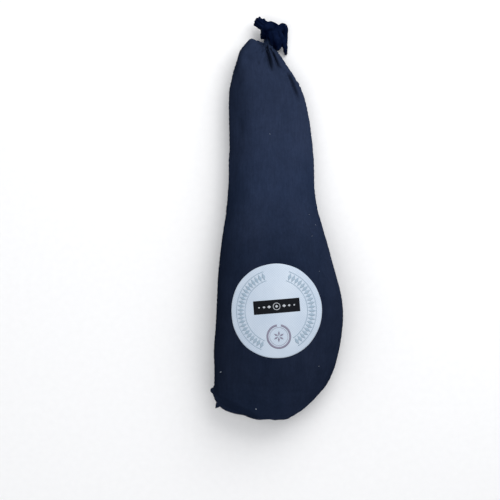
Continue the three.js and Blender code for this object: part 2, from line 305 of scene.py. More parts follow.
def neck_ring():
    """The tied neck: a small round ring that faces along +Y."""
    turn = np.pi - 2 * np.pi * np.arange(AROUND) / AROUND
    return np.column_stack([
        NECK.x + NECK_RADIUS * np.cos(turn),
        np.full(AROUND, NECK.y),
        NECK.z + NECK_RADIUS * np.sin(turn),
    ])


def body_rows(tree):
    """Rings from the tip of the sewn end to where the cloth starts to close."""
    start = BAG_LOW.y + 0.0006
    stop = HAM_HIGH.y - SHOULDER_LENGTH
    cap = start + CAP_LENGTH * (1 - np.cos(np.linspace(0, np.pi / 2, CAP_ROWS + 1)[:-1]))
    body = np.linspace(start + CAP_LENGTH, stop, BODY_ROWS)
    return np.stack([ring_at(tree, y) for y in np.concatenate([cap, body])])


def shoulder_rows(last_ring, ham_tree):
    """Rings from the last whole section to the neck, pulled tight over the toes like a skin."""
    last = last_ring[::2]
    target = neck_ring()[::2]
    ahead = last.copy()
    ahead[:, 1] = HAM_HIGH.y + 0.018
    share = np.linspace(0, 1, SHOULDER_ROWS + 1)[:, None, None]
    straight = last[None] + np.minimum(share / 0.6, 1) * (ahead - last)[None]
    rows = straight + np.clip((share - 0.6) / 0.4, 0, 1) * (target - ahead)[None]
    for _ in range(TIGHTENING_TURNS):
        inner = rows[1:-1]
        along = (rows[:-2] + rows[2:]) / 2 - inner
        across = (np.roll(inner, 1, axis=1) + np.roll(inner, -1, axis=1)) / 2 - inner
        inner += 0.8 * along + 0.05 * across
        inner[..., 2] = np.maximum(inner[..., 2], 0.0004)
        push_clear(inner, ham_tree, HAM_CLEARANCE)
    return finer(rows)[1:]


def finer(rows):
    """The same cloth with SHOULDER_STRIDE times the rows and twice the columns."""
    wanted = np.linspace(0, len(rows) - 1, (len(rows) - 1) * SHOULDER_STRIDE + 1)
    low = np.minimum(wanted.astype(int), len(rows) - 2)
    before = rows[np.maximum(low - 1, 0)]
    after = rows[np.minimum(low + 2, len(rows) - 1)]
    t = (wanted - low)[:, None, None]
    smooth = between(before, rows[low], rows[low + 1], after, t)
    full = np.empty((len(smooth), smooth.shape[1] * 2, 3))
    full[:, ::2] = smooth
    near = smooth + np.roll(smooth, -1, axis=1)
    far = np.roll(smooth, 1, axis=1) + np.roll(smooth, -2, axis=1)
    full[:, 1::2] = (9 * near - far) / 16
    return full


def push_clear(rows, ham_tree, clearance):
    """Moves the points that are in the ham, or too near it, out to the cloth's clearance."""
    for row in rows:
        for place in row:
            point = Vector(place)
            found, normal, _, distance = ham_tree.find_nearest(point, 0.04)
            if found is None:
                continue
            if (point - found).dot(normal) < 0 or distance < clearance:
                place[:] = found + normal * clearance


def ease_join(rows, join, reach=14, turns=30):
    """Smooths the skin along its length where the shoulder starts."""
    weight = np.clip(1 - np.abs(np.arange(len(rows)) - join) / reach, 0, 1)[1:-1, None, None]
    for _ in range(turns):
        middle = (rows[:-2] + rows[2:]) / 2
        rows[1:-1] += 0.6 * weight * (middle - rows[1:-1])


def grid_normals(rows):
    along = np.gradient(rows, axis=0)
    across = np.roll(rows, -1, axis=1) - np.roll(rows, 1, axis=1)
    out = np.cross(across, along)
    return out / np.maximum(np.linalg.norm(out, axis=2, keepdims=True), 1e-9)


def distance_to(rows, start, end):
    """Distance in plan from a line to every point of the skin, and the share of the way along it."""
    start, end = np.array(start), np.array(end)
    line = end - start
    from_start = rows[..., :2] - start
    share = from_start @ line / (line @ line)
    nearest = start + np.clip(share, 0, 1)[..., None] * line
    return np.linalg.norm(rows[..., :2] - nearest, axis=-1), share


def add_creases(rows):
    """The sharp folds that run down from the neck."""
    out = grid_normals(rows)
    top = smoothstep(-0.1, 0.25, out[..., 2])
    move = np.zeros(rows.shape[:2])
    for start, end, depth, half_width, rise in CREASES:
        begin = np.array(NECK)[:2] + np.array(start) * MM
        finish = np.array(NECK)[:2] + np.array(end) * MM
        distance, share = distance_to(rows, begin, finish)
        middle = smoothstep(-0.12, 0.12, share) * (1 - smoothstep(0.6, 1.25, share))
        width = half_width * MM * (0.8 + 0.5 * np.clip(share, 0, 1))
        valley = np.exp(-((distance / width) ** 2))
        ridge = np.exp(-(((distance - 2.1 * width) / (1.1 * width)) ** 2))
        move += top * middle * (rise * ridge - depth * valley) * MM
    down = out + (0, 0, 1.0)
    down /= np.linalg.norm(down, axis=2, keepdims=True) + 1e-6
    return rows + down * move[..., None]


def add_gathers(rows):
    """Soft pleats of uneven width all round the neck, which fade out down the bag."""
    rng = np.random.default_rng(11)
    out = grid_normals(rows)
    turn = np.arange(AROUND) / AROUND
    pleats = np.zeros(rows.shape[:2])
    from_neck = NECK.y - rows[..., 1]
    for i in range(GATHERS):
        centre = (i + rng.uniform(-0.28, 0.28)) / GATHERS
        reach = GATHER_REACH * rng.uniform(0.45, 1.0)
        width = rng.uniform(0.010, 0.017)
        depth = rng.uniform(0.8, 1.7)
        apart = (turn - centre + 0.5) % 1 - 0.5
        valley = np.exp(-((apart / width) ** 2))[None]
        fade = 1 - smoothstep(0.15 * reach, reach, from_neck)
        pleats -= depth * valley * fade
    return rows + out * (pleats * MM)[..., None]


def add_corner_fold(rows):
    """The empty corner at the sewn end's left, which drops from a fold line to the floor."""
    start = np.array((BAG_LOW.x + 0.001, BAG_LOW.y + 0.041))
    end = np.array((BAG_LOW.x + 0.060, BAG_LOW.y + 0.0145))
    line = end - start
    past = (rows[..., :2] - start) @ np.array((line[1], -line[0])) / np.linalg.norm(line)
    share = (rows[..., :2] - start) @ line / (line @ line)
    over = smoothstep(-0.006, 0.010, past) * (1 - smoothstep(0.85, 1.5, share))
    top = rows[..., 2] > 0.004
    low = np.minimum(rows[..., 2], 0.006 + 0.16 * np.clip(rows[..., 2] - 0.006, 0, None))
    rows = rows.copy()
    rows[..., 2] += np.where(top, over * (low - rows[..., 2]), 0)
    return rows


def add_softness(rows):
    """The slight unevenness of cloth that lies on meat."""
    out = grid_normals(rows)
    flat = rows.reshape(-1, 3)
    waves = 1.0 * value_noise(flat * (1.3, 0.6, 1.0), 0.055, 5) + 0.28 * value_noise(flat, 0.018, 6)
    on_top = smoothstep(-0.4, 0.3, out[..., 2])
    move = waves.reshape(rows.shape[:2]) * on_top * 0.9 - 0.3
    return rows + out * (move * MM)[..., None]


def add_folds(rows):
    """Long slack folds down the flanks, and the puckered seams along both sides."""
    out = grid_normals(rows)
    flat = rows.reshape(-1, 3)
    shape = rows.shape[:2]
    folds = 1 - 2.2 * np.abs(value_noise(flat * (0.9, 0.42, 1.1), 0.036, 21))
    small = 1 - 2.2 * np.abs(value_noise(flat * (1.0, 0.5, 0.8), 0.015, 22))
    flank = smoothstep(0.92, 0.35, out[..., 2]) * smoothstep(0.003, 0.010, rows[..., 2])
    move = (0.9 * folds + 0.32 * small).reshape(shape) * (0.22 + 0.78 * flank)
    column = np.arange(AROUND)
    step = np.linalg.norm(np.roll(rows, -1, axis=1) - rows, axis=2).mean(axis=1, keepdims=True)
    pucker = np.sin(rows[..., 1] / 0.0014 + 2.5 * value_noise(flat, 0.02, 23).reshape(shape))
    for seam in (0, AROUND // 2):
        apart = np.abs((column - seam + AROUND // 2) % AROUND - AROUND // 2)[None] * step
        move -= 0.9 * np.exp(-((apart / 0.0021) ** 2))
        move += 0.30 * pucker * np.exp(-((apart / 0.0075) ** 2))
    away = smoothstep(0.0, 0.012, NECK.y - rows[..., 1])
    return rows + out * (move * away * MM)[..., None]


def blurred(field, turns):
    """A field over the skin, smoothed along it and round it."""
    for _ in range(turns):
        field = (2 * field + np.roll(field, 1, axis=1) + np.roll(field, -1, axis=1)) / 4
        field[1:-1] = (2 * field[1:-1] + field[:-2] + field[2:]) / 4
    return field


def relaxed(rows, ham):
    """The skin after a cloth simulation at half its detail, laid on the ham and the floor."""
    coarse = rows[::2, ::2]
    study = skin_object(coarse, "cloth_study")
    neck_group = study.vertex_groups.new(name="neck")
    sides = coarse.shape[1]
    tied = range((len(coarse) - 3) * sides, len(coarse) * sides)
    neck_group.add(list(tied), 1.0, "REPLACE")
    cloth = study.modifiers.new("cloth", "CLOTH")
    cloth.settings.quality = 7
    cloth.settings.mass = 0.22
    cloth.settings.tension_stiffness = 32
    cloth.settings.compression_stiffness = 14
    cloth.settings.shear_stiffness = 9
    cloth.settings.bending_stiffness = 0.9
    cloth.settings.shrink_min = -0.012
    cloth.settings.vertex_group_mass = "neck"
    cloth.collision_settings.distance_min = 0.0012
    cloth.collision_settings.use_self_collision = False
    cloth.point_cache.frame_end = SIMULATED_FRAMES
    ground = new_object("ground_study", square(1), [(0, 1, 2, 3)])
    core = new_object("core_study", points_of(ham), [tuple(p.vertices) for p in ham.data.polygons])
    for solid in (ground, core):
        solid.modifiers.new("collision", "COLLISION")
        solid.collision.thickness_outer = 0.0008
        solid.collision.cloth_friction = 8
    scene = bpy.context.scene
    for number in range(1, SIMULATED_FRAMES + 1):
        scene.frame_set(number)
    apply_modifiers(study)
    after = points_of(study)[: coarse.shape[0] * sides].reshape(coarse.shape)
    scene.frame_set(1)
    for piece in (study, ground, core):
        bpy.data.objects.remove(piece)
    moved = after - coarse
    length = np.linalg.norm(moved, axis=2, keepdims=True)
    moved *= np.minimum(1, FARTHEST_MOVE / np.maximum(length, 1e-9))
    moved = blurred(moved, 1)
    sag = blurred(moved, 60)
    moved = (moved - sag) + SAG_KEPT * sag
    moved *= smoothstep(0.003, 0.009, coarse[..., 2:3])
    moved[-6:] *= np.linspace(1, 0, 6)[:, None, None]
    full = np.zeros_like(rows)
    full[::2, ::2] = moved
    full[::2, 1::2] = (moved + np.roll(moved, -1, axis=1)) / 2
    later = full[2::2]
    full[1::2][: len(later)] = (full[::2][: len(later)] + later) / 2
    if len(rows) % 2 == 0:
        full[-1] = full[-2]
    return rows + full


def extent(along, across, places, pick):
    """The outermost value of across near each place along the skin, smoothed."""
    found = []
    for place in places:
        near = np.abs(along - place) < 0.0022
        found.append(pick(across[near]) if near.any() else np.nan)
    found = np.array(found)
    good = ~np.isnan(found)
    return np.interp(places, places[good], found[good])


def draw_out_shoulder(rows):
    """Moves the shoulder's edges, seen from above, out to LEFT_EDGE, RIGHT_EDGE and TOP_EDGE."""
    x, y = rows[..., 0], rows[..., 1]
    neck = np.array(NECK)
    for knots, pick in ((LEFT_EDGE, np.nanmin), (RIGHT_EDGE, np.nanmax)):
        line = neck[:2] + np.array(knots) * MM
        places = np.arange(line[-1, 1], line[0, 1], 0.002)
        wanted = np.interp(places, line[::-1, 1], line[::-1, 0])
        present = extent(y, x, places, pick)
        fade = smoothstep(places[0], places[0] + 0.015, places)
        fade *= 1 - smoothstep(places[-1] - 0.006, places[-1], places)
        shift = np.interp(y, places, (wanted - present) * fade, left=0, right=0)
        edge = np.interp(y, places, present)
        nearness = 1 - smoothstep(0.0, EDGE_BLEND, np.abs(edge - x))
        x += shift * nearness
    line = neck[:2] + np.array(TOP_EDGE) * MM
    places = np.arange(line[0, 0], line[-1, 0], 0.0015)
    wanted = np.interp(places, line[:, 0], line[:, 1])
    present = extent(x, y, places, np.nanmax)
    fade = smoothstep(places[0], places[0] + 0.005, places)
    fade *= 1 - smoothstep(places[-1] - 0.006, places[-1], places)
    shift = np.interp(x, places, (wanted - present) * fade, left=0, right=0)
    nearness = 1 - smoothstep(0.0, TOP_EDGE_BLEND, np.interp(x, places, present) - y)
    y += shift * nearness


def keep_outline(rows, before):
    """Moves the flanks out to where they were before the simulation drew them in."""
    x, wanted = rows[..., 0], before[..., 0]
    for pick in (np.min, np.max):
        edge = pick(x, axis=1, keepdims=True)
        shift = pick(wanted, axis=1, keepdims=True) - edge
        x += shift * (1 - smoothstep(0.0, FLANK_BLEND, np.abs(edge - x)))


def build_skin(ham):
    tree = tree_of(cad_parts["cloth_bag"])
    ham_tree = tree_of(ham)
    body = body_rows(tree)
    rows = np.concatenate([body, shoulder_rows(body[-1], ham_tree)])
    ease_join(rows, len(body))
    draw_out_shoulder(rows)
    rows = add_softness(rows)
    rows = add_corner_fold(rows)
    before = rows
    rows = relaxed(rows, ham)
    keep_outline(rows[: len(body)], before[: len(body)])
    draw_out_shoulder(rows)
    rows = add_folds(rows)
    rows = add_gathers(rows)
    rows = add_creases(rows)
    push_clear(rows, ham_tree, 0.0010)
    rows[..., 2] = np.maximum(rows[..., 2], 0.0002)
    return rows


def skin_object(rows, name):
    """A mesh of the rings, closed by a fan at the sewn end and open at the neck."""
    count, sides = rows.shape[:2]
    vertices = rows.reshape(-1, 3)
    tip = rows[0].mean(axis=0) - (0, 0.0006, 0)
    faces = ring_faces(count, sides, outward=False)
    faces += [(len(vertices), (c + 1) % sides, c) for c in range(sides)]
    return new_object(name, np.vstack([vertices, tip]), faces)


# ---- The knot ----


def curve_through(points, spacing=0.0012):
    """Points along a smooth curve through the given ones."""
    points = [np.array(p, float) for p in points]
    points = [2 * points[0] - points[1]] + points + [2 * points[-1] - points[-2]]
    found = []
    for a, b, c, d in zip(points, points[1:], points[2:], points[3:]):
        steps = max(2, int(np.linalg.norm(c - b) / spacing))
        found += [between(a, b, c, d, t) for t in np.arange(steps) / steps]
    return np.array(found + [points[-2]])


def tube(name, points, radii, flat=1.0, ribs=0, rib_depth=0.0, wobble=0.0, cup=0.0, blunt=False,
         sides=48, seed=0):
    """A closed roll of cloth: its middle line and its radii, in millimetres from the tie.

    flat squashes its section, and ribs and wobble make it uneven. Its far end is rounded, or blunt,
    or has a hollow cup millimetres deep.
    """
    rng = np.random.default_rng(seed)
    path = curve_through([np.array(TIE) + np.array(p) * MM for p in points])
    share = np.linspace(0, 1, len(path))
    radius = np.interp(share, np.linspace(0, 1, len(radii)), radii) * MM
    heading = np.gradient(path, axis=0)
    heading /= np.linalg.norm(heading, axis=1, keepdims=True)
    side = np.cross(heading, (0, 0, 1.0))
    side /= np.maximum(np.linalg.norm(side, axis=1, keepdims=True), 1e-6)
    up = np.cross(side, heading)
    turn = 2 * np.pi * np.arange(sides) / sides
    phases = rng.uniform(0, 2 * np.pi, 4)
    lobes = np.cos(ribs * turn[None] + 0.5 * np.sin(2 * turn + phases[0])[None] + 2.2 * share[:, None])
    uneven = sum(np.cos((k + 2) * turn[None] + phases[k] + 5 * share[:, None]) for k in range(4))
    rings = []
    for i in range(len(path)):
        r = radius[i] * (1 + rib_depth * lobes[i] + wobble * uneven[i])
        across, above = (r * np.cos(turn))[:, None], (flat * r * np.sin(turn))[:, None]
        rings.append(path[i] + side[i] * across + up[i] * above)
    ends = [(0, -1)] if cup or blunt else [(0, -1), (-1, 1)]
    for place, way in ends:
        edge = rings[place]
        for lean in (25, 48, 68, 82):
            ahead = way * 0.8 * radius[place] * math.sin(math.radians(lean)) * heading[place]
            ring = path[place] + ahead + (edge - path[place]) * math.cos(math.radians(lean))
            rings.insert(0, ring) if place == 0 else rings.append(ring)
    if cup:
        frill = np.cos(3 * turn + phases[1]) + 0.5 * np.cos(5 * turn + phases[2])
        rings[-1] = rings[-1] + heading[-1] * (0.0005 * frill)[:, None]
        last = len(rings) - 1
        steps = max(3, int(cup / 1.2))
        for k in range(1, steps + 1):
            back = path[-1 - k]
            inner = 0.80 - 0.30 * k / steps
            rings.append(back + (rings[last - k] - back) * inner)
    rings = np.array(rings)
    count = len(rings)
    faces = ring_faces(count, sides)
    faces.append(tuple(range(sides)))
    faces.append(tuple(reversed(range((count - 1) * sides, count * sides))))
    return new_object(name, rings.reshape(-1, 3), faces)


def joined(name, pieces):
    """One object with the meshes of several."""
    whole = bmesh.new()
    for piece in pieces:
        whole.from_mesh(piece.data)
    mesh = bpy.data.meshes.new(name)
    whole.to_mesh(mesh)
    whole.free()
    for piece in pieces:
        bpy.data.objects.remove(piece)
    return placed(name, mesh)


def build_knot():
    """The cloth above the neck, tied on itself: a ribbed tail, a loop, a lump and an ear."""
    rolls = [
        tube("core", [(-8.3, -16, -2), (-8.2, -9, -1), (-8.8, 0, 1), (-10, 10, 5), (-11, 18, 7)],
             [6.0, 6.4, 7.2, 8.2, 8.6], ribs=9, rib_depth=0.15, seed=1),
        tube("tail", [(-9, 14, 6), (-14, 19, 7), (-20, 23, 6), (-25, 26.3, 4.5), (-28, 28.4, 3.5)],
             [8.4, 8.6, 8.0, 8.0, 8.6], ribs=9, rib_depth=0.16, cup=8, seed=2),
        tube("loop", [(-14, 4, 4), (-12, 14.5, 10), (-4, 19, 10), (4, 16, 7), (8.5, 8, 4)],
             [6.0, 8.2, 8.0, 7.7, 6.0], flat=0.9, wobble=0.02, ribs=5, rib_depth=0.03, seed=3),
        tube("lump", [(-2, 16, 2), (1, 6, 3), (4, -6, 2), (7.5, -15.5, -2)],
             [8.5, 11.8, 11.0, 7.8], flat=0.95, ribs=7, rib_depth=0.05, wobble=0.02, seed=4),
        tube("ridge", [(8, 13, 9), (13, 4, 8), (17, -6, 2), (19, -16, -4)],
             [3.4, 4.4, 4.4, 2.6], flat=0.9, ribs=3, rib_depth=0.06, seed=5),
        tube("ear", [(9, 9, 4), (14, 17, 6), (18.0, 18.6, 4.5), (20.4, 13, 2), (20.6, 2, -2),
                     (20.4, -10, -7), (22, -26.5, -12)],
             [4.5, 5.8, 5.4, 4.8, 4.4, 4.0, 2.6], flat=0.85, ribs=5, rib_depth=0.05, seed=6),
        tube("flap", [(-10, 3.4, -1), (-15, 3.2, -2), (-21.0, 2.8, -3)],
             [4.8, 4.9, 4.8], flat=0.30, blunt=True, seed=7),
        tube("nub", [(-12, 21, 5), (-14.5, 27, 4), (-15.4, 31.5, 3)],
             [4.2, 3.0, 1.6], flat=0.8, seed=8),
    ]
    knot = joined("bag_knot", rolls)
    remeshed(knot, KNOT_VOXEL, 2)
    points = points_of(knot)
    creases = 0.5 - np.abs(value_noise(points * (1, 0.45, 0.8), 0.0045, 12))
    folds = value_noise(points, 0.009, 13)
    points += normals_of(knot) * ((1.0 * creases + 0.6 * folds) * MM)[:, None]
    points[:, 2] = np.maximum(points[:, 2], 0.0002)
    set_points(knot, points)
    return knot


# ---- The label ----


def label_bed(bag_tree):
    """The bag's height under the label, and how far along the cloth each place is from its middle."""
    reach, step = 0.090, 0.0015
    offsets = np.arange(-reach, reach + step, step)
    heights = np.zeros((len(offsets), len(offsets)))
    for j, dy in enumerate(offsets):
        for i, dx in enumerate(offsets):
            above = Vector((LABEL_CENTRE.x + dx, LABEL_CENTRE.y + dy, 0.3))
            hit = bag_tree.ray_cast(above, Vector((0, 0, -1)))[0]
            heights[j, i] = hit.z if hit else 0
    eased = heights.copy()
    for _ in range(5):
        eased[1:-1] = (eased[:-2] + 2 * eased[1:-1] + eased[2:]) / 4
        eased[:, 1:-1] = (eased[:, :-2] + 2 * eased[:, 1:-1] + eased[:, 2:]) / 4
    heights = np.maximum(heights, eased)
    steps = np.hypot(np.diff(eased, axis=1), step)
    travelled = np.concatenate([np.zeros((len(offsets), 1)), np.cumsum(steps, axis=1)], axis=1)
    middle = len(offsets) // 2
    travelled -= travelled[:, middle : middle + 1]
    return offsets, heights, travelled


def lay_on_bag(bed, flat_points, lift):
    """Puts points of the label's own plane on the bag, lift metres clear of it."""
    offsets, heights, travelled = bed
    step = offsets[1] - offsets[0]
    found = []
    for s, t in flat_points:
        row = (t - offsets[0]) / step
        j = int(np.clip(row, 0, len(offsets) - 2))
        part = row - j
        walked = (1 - part) * travelled[j] + part * travelled[j + 1]
        level = (1 - part) * heights[j] + part * heights[j + 1]
        x = np.interp(s, walked, offsets)
        z = np.interp(x, offsets, level)
        slope = (np.interp(x + step, offsets, level) - np.interp(x - step, offsets, level)) / (2 * step)
        out = Vector((-slope, 0, 1)).normalized()
        found.append(Vector((LABEL_CENTRE.x + x, LABEL_CENTRE.y + t, z)) + out * lift)
    return found


def build_label(bed):
    """A disc of stiff printed cloth with a turned edge."""
    circles = np.linspace(0, 1, 46)[1:]
    sides = 160
    plan, lifts = [(0, 0)], [LABEL_LIFT]
    for share in circles:
        edge = smoothstep(0.965, 1.0, share)
        for k in range(sides):
            angle = 2 * np.pi * k / sides
            ragged = 1 + 0.0022 * math.sin(5 * angle + 1) + 0.0014 * math.sin(13 * angle)
            reach = LABEL_RADIUS * share * ragged
            plan.append(polar((0, 0), reach, angle))
            lifts.append(LABEL_LIFT - 0.00022 * edge)
    top = [lay_on_bag(bed, [p], lift)[0] for p, lift in zip(plan, lifts)]
    base = lay_on_bag(bed, plan[-sides:], 0.00005)
    faces = [(0, 1 + k, 1 + (k + 1) % sides) for k in range(sides)]
    faces += ring_faces(len(circles), sides, first=1)
    last = 1 + (len(circles) - 1) * sides
    for k in range(sides):
        after = (k + 1) % sides
        faces.append((last + k, len(top) + k, len(top) + after, last + after))
    faces.append(tuple(len(top) + k for k in reversed(range(sides))))
    return new_object("printed_label", top + base, faces)


def ink_patch(bed, outline, lift=PRINT_LIFT, steps=2):
    """Vertices and faces of a flat printed shape: a fan of rings from its middle to its outline."""
    outline = np.array(outline)
    middle = outline.mean(axis=0)
    plan = [middle]
    for k in range(1, steps + 1):
        plan += list(middle + (outline - middle) * k / steps)
    vertices = lay_on_bag(bed, plan, lift)
    n = len(outline)
    faces = [(0, 1 + k, 1 + (k + 1) % n) for k in range(n)]
    return vertices, faces + ring_faces(steps, n, first=1)


def ink_ring(bed, centre, inner, outer, start=0.0, end=360.0, lift=PRINT_LIFT):
    """Vertices and faces of a printed arc."""
    count = max(8, int((end - start) / 3))
    radii = inner, (inner + outer) / 2, outer
    angles = np.radians(np.linspace(start, end, count + 1))
    vertices = lay_on_bag(bed, [polar(centre, r, angle) for angle in angles for r in radii], lift)
    faces = []
    for a in range(0, 3 * count, 3):
        faces += [(a, a + 1, a + 4, a + 3), (a + 1, a + 2, a + 5, a + 4)]
    return vertices, faces


def ink_object(name, patches):
    vertices, faces = [], []
    for some, their_faces in patches:
        first = len(vertices)
        vertices += some
        faces += [tuple(first + i for i in face) for face in their_faces]
    return thickened(new_object(name, vertices, faces), INK_THICKNESS)


def outline_through(tips, centre, angle, steps):
    """A closed outline through the tips, turned by an angle and moved, in the label's plane."""
    c, s = math.cos(angle), math.sin(angle)
    outline = []
    for (ax, ay), (bx, by) in zip(tips, tips[1:] + tips[:1]):
        for k in range(steps):
            x, y = ax + (bx - ax) * k / steps, ay + (by - ay) * k / steps
            outline.append((centre[0] + c * x - s * y, centre[1] + s * x + c * y))
    return outline


def lozenge(centre, length, width, angle):
    a, b = length / 2, width / 2
    return outline_through([(a, 0), (0, b), (-a, 0), (0, -b)], centre, angle, 5)


def slab(centre, length, width, angle):
    a, b = length / 2, width / 2
    return outline_through([(a, -b), (a, b), (-a, b), (-a, -b)], centre, angle, 16)


def build_print(bed):
    """The label's ornament: a broken ring of diamonds, a dark bar and a small ring with a star."""
    radius = LABEL_RADIUS
    grey = []  # the broken ring, with a thin line on each side of its diamonds
    ring_middle = 0.7725 * radius
    for first, last in ((-58, 72), (108, 249)):
        for inner, outer in ((0.665, 0.680), (0.865, 0.880)):
            grey.append(ink_ring(bed, (0, 0), inner * radius, outer * radius, first, last))
        for angle in np.radians(np.arange(first + 2.5, last, 6.2)):
            centre = polar((0, 0), ring_middle, angle)
            grey.append(ink_patch(bed, lozenge(centre, 0.0135, 0.0060, angle)))
    ornament = ink_object("label_ornament", grey)

    tilt = math.radians(4.8)
    middle = (0.0006, 0.0078)
    bar = ink_object("label_bar", [ink_patch(bed, slab(middle, 0.078, 0.0226, tilt), BAR_LIFT, 10)])
    light = [ink_ring(bed, middle, 0.0052, 0.0061, lift=MARK_LIFT)]
    light.append(ink_patch(bed, lozenge(middle, 0.0052, 0.0052, tilt), MARK_LIFT))
    for side in (-1, 1):
        for k, size in enumerate((0.0066, 0.0050, 0.0036)):
            along = side * (0.0125 + 0.0085 * k)
            spot = polar(middle, along, tilt)
            light.append(ink_patch(bed, lozenge(spot, size, size * 0.8, tilt), MARK_LIFT))
    bar_marks = ink_object("label_bar_marks", light)

    low = (0.0044, -0.0425)
    mauve = [ink_ring(bed, low, 0.0172, 0.0206, 100, 440), ink_ring(bed, low, 0.0148, 0.0154)]
    for angle in np.radians(np.arange(30, 390, 60)):
        mauve.append(ink_patch(bed, lozenge(polar(low, 0.0052, angle), 0.0085, 0.0034, angle)))
    return ornament, bar, bar_marks, ink_object("label_seal", mauve)


# ---- Small things ----


def build_nubs(rows):
    """The two stitched ends of the seam that stick out at the bag's left corner."""
    pieces = []
    for y, dx, dy, base, end in ((0.0500, -0.0052, 0.0006, 15.0, 4.6), (0.0245, -0.0046, -0.0056, 4.6, 0.8)):
        near = rows[np.abs(rows[..., 1] - BAG_LOW.y - y) < 0.003]
        edge = Vector(near[np.argmin(near[:, 0])])
        root = Vector((edge.x + 0.0022, BAG_LOW.y + y, max(edge.z, 0.005))) - TIE
        tip = root + Vector((dx, dy, -0.0006))
        line = [root / MM, (root + tip) / 2 / MM, tip / MM]
        pieces.append(tube("nub", line, [base, 0.66 * base, end], flat=0.32, ribs=3,
                           rib_depth=0.10, sides=24, seed=int(y * 10000)))
    return joined("seam_ends", pieces)


def build_lint(bag_tree):
    """Specks of pale fluff caught on the cloth."""
    rng = np.random.default_rng(4)
    spots = [(0.012, 0.084), (0.071, 0.0215)]
    spots += [(rng.uniform(0.03, 0.18), rng.uniform(0.05, 0.60)) for _ in range(9)]
    pieces = []
    for number, (x, y) in enumerate(spots):
        above = Vector((BAG_LOW.x + x, BAG_LOW.y + y, 0.3))
        hit = bag_tree.ray_cast(above, Vector((0, 0, -1)))[0]
        if not hit:
            continue
        size = 1.0 if number < 2 else rng.uniform(0.35, 0.6)
        angle = rng.uniform(0, math.pi)
        reach = Vector((math.cos(angle), math.sin(angle), 0)) * 0.0013 * size
        lift = Vector((0, 0, 0.00045))
        line = [hit - reach + lift, hit + lift * 2.2 + reach.cross(Vector((0, 0, 0.3))), hit + reach + lift]
        pieces.append(tube("speck", [(p - TIE) / MM for p in line], [0.12 * size, 0.6 * size, 0.12 * size],
                           flat=0.6, sides=8, wobble=0.08, seed=number))
    return joined("lint", pieces)


# ---- Materials ----

BAG_WEAVE = 0.0011
LABEL_WEAVE = 0.0021
NAVY_DARK, NAVY_LIGHT = (0.0148, 0.0250, 0.0550), (0.0265, 0.0385, 0.0780)
# The knot is the bag's own cotton; its darker colours are painted shade for the shadow the knot lies in.
KNOT_SHADED_DARK, KNOT_SHADED_LIGHT = (0.0005, 0.0022, 0.0130), (0.0075, 0.0150, 0.0480)
KNOT_PATCHES = 75
NECK_BLEND = (0.006, 0.0115)  # distances from the neck over which the knot's painted shade takes over from the bag's colour
PAINTED_SHADE_END = 0.27  # the y where the painted shade along the bag, below, ends
# Painted shade along the bag: how light the cloth is left along it, from its sewn end (0) to the y above
# (1); it is painted darker where less lamp light falls.
PAINTED_SHADE_ALONG_BAG = ((0.03, 0.72), (0.12, 0.56), (0.29, 0.56), (0.50, 0.74), (0.66, 1.0), (0.90, 0.84))


